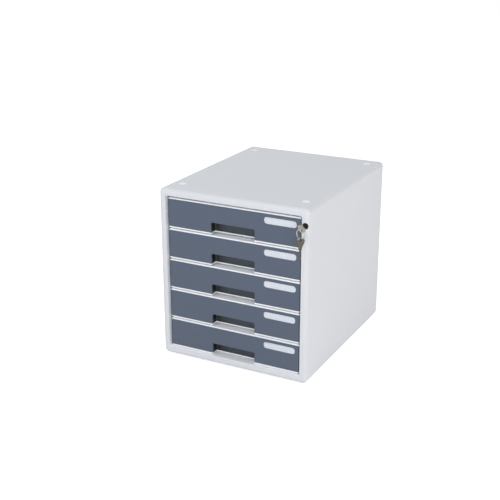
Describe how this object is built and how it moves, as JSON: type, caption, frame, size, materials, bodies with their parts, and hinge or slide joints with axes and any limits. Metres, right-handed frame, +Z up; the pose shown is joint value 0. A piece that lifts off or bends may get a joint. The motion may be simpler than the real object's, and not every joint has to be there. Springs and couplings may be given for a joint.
{
  "type": "desktop drawer cabinet",
  "caption": "Desktop file cabinet with a stack of shallow drawers, finger pockets, label windows and a key lock that holds all drawers shut.",
  "frame": {"origin": "on the desk, below the middle of the shell: the feet stand on z = 0", "axes": "+Z up, +Y from the drawer fronts to the back, +X to the right as seen from the front"},
  "size_m": [0.3029, 0.3957, 0.333],
  "materials": {
    "shell_plastic": "fine satin grain",
    "tray_plastic": "satin",
    "slate_plastic": "satin",
    "runner_plastic": "satin",
    "card": "uncoated",
    "clear_cover": "clear moulded plastic",
    "rubber": "matt",
    "zinc_screw": "zinc plated",
    "black_nickel": "dark nickel plate",
    "lock_steel": "zinc plated",
    "key_nickel": "nickel plate"
  },
  "bodies": {
    "cabinet": {"cabinet_shell": "shell_plastic", "back_panel": "shell_plastic", "feet": "rubber", "runner_panel_right": "runner_plastic", "runner_panel_left": "runner_plastic", "back_screws": "zinc_screw", "lock_housing": "black_nickel", "lock_clip": "lock_steel", "bar_guides": "runner_plastic"},
    "drawer_1": {"drawer_1_frame": "tray_plastic", "drawer_1_tray": "tray_plastic", "drawer_1_runners": "runner_plastic", "drawer_1_front": "slate_plastic", "drawer_1_label_card": "card", "drawer_1_label_cover": "clear_cover"},
    "drawer_2": {"drawer_2_frame": "tray_plastic", "drawer_2_tray": "tray_plastic", "drawer_2_runners": "runner_plastic", "drawer_2_front": "slate_plastic", "drawer_2_label_card": "card", "drawer_2_label_cover": "clear_cover"},
    "drawer_3": {"drawer_3_frame": "tray_plastic", "drawer_3_tray": "tray_plastic", "drawer_3_runners": "runner_plastic", "drawer_3_front": "slate_plastic", "drawer_3_label_card": "card", "drawer_3_label_cover": "clear_cover"},
    "drawer_4": {"drawer_4_frame": "tray_plastic", "drawer_4_tray": "tray_plastic", "drawer_4_runners": "runner_plastic", "drawer_4_front": "slate_plastic", "drawer_4_label_card": "card", "drawer_4_label_cover": "clear_cover"},
    "drawer_5": {"drawer_5_frame": "tray_plastic", "drawer_5_tray": "tray_plastic", "drawer_5_runners": "runner_plastic", "drawer_5_front": "slate_plastic", "drawer_5_label_card": "card", "drawer_5_label_cover": "clear_cover"},
    "plug": {"lock_plug": "black_nickel", "lock_cam": "lock_steel", "cam_screw": "zinc_screw"},
    "lock_bar": {"lock_bar": "lock_steel"},
    "key": {"key_in_lock": "key_nickel"},
    "ring": {"key_ring": "key_nickel"},
    "spare_key": {"spare_key": "key_nickel"}
  },
  "joints": [
    {"name": "drawer_1_slide", "type": "slide", "parent": "cabinet", "child": "drawer_1", "axis": [0, -1, 0], "range_m": [0, 0.25]},
    {"name": "drawer_2_slide", "type": "slide", "parent": "cabinet", "child": "drawer_2", "axis": [0, -1, 0], "range_m": [0, 0.25]},
    {"name": "drawer_3_slide", "type": "slide", "parent": "cabinet", "child": "drawer_3", "axis": [0, -1, 0], "range_m": [0, 0.25]},
    {"name": "drawer_4_slide", "type": "slide", "parent": "cabinet", "child": "drawer_4", "axis": [0, -1, 0], "range_m": [0, 0.25]},
    {"name": "drawer_5_slide", "type": "slide", "parent": "cabinet", "child": "drawer_5", "axis": [0, -1, 0], "range_m": [0, 0.25]},
    {"name": "plug_turn", "type": "hinge", "parent": "cabinet", "child": "plug", "pos_m": [0.144, -0.184, 0.3037], "axis": [0, 1, 0], "range_deg": [0, 90]},
    {"name": "lock_bar_lift", "type": "slide", "parent": "cabinet", "child": "lock_bar", "axis": [0, 0, 1], "range_m": [0, 0.00707]},
    {"name": "key_withdraw", "type": "slide", "parent": "plug", "child": "key", "axis": [0, -1, 0], "range_m": [0, 0.018]},
    {"name": "ring_hang", "type": "hinge", "parent": "key", "child": "ring", "pos_m": [0.144, -0.20366, 0.3037], "axis": [0, -1, 0], "range_deg": [0, 90]},
    {"name": "spare_key_swing", "type": "hinge", "parent": "ring", "child": "spare_key", "pos_m": [0.144, -0.20366, 0.2869], "axis": [0.9636, -0.2672, 0], "range_deg": [-45, 30]}
  ],
  "couplings": [
    {"joint": "plug_turn", "follows": "lock_bar_lift", "rad_per_m": 222.14},
    {"joint": "ring_hang", "follows": "lock_bar_lift", "rad_per_m": 222.14}
  ]
}
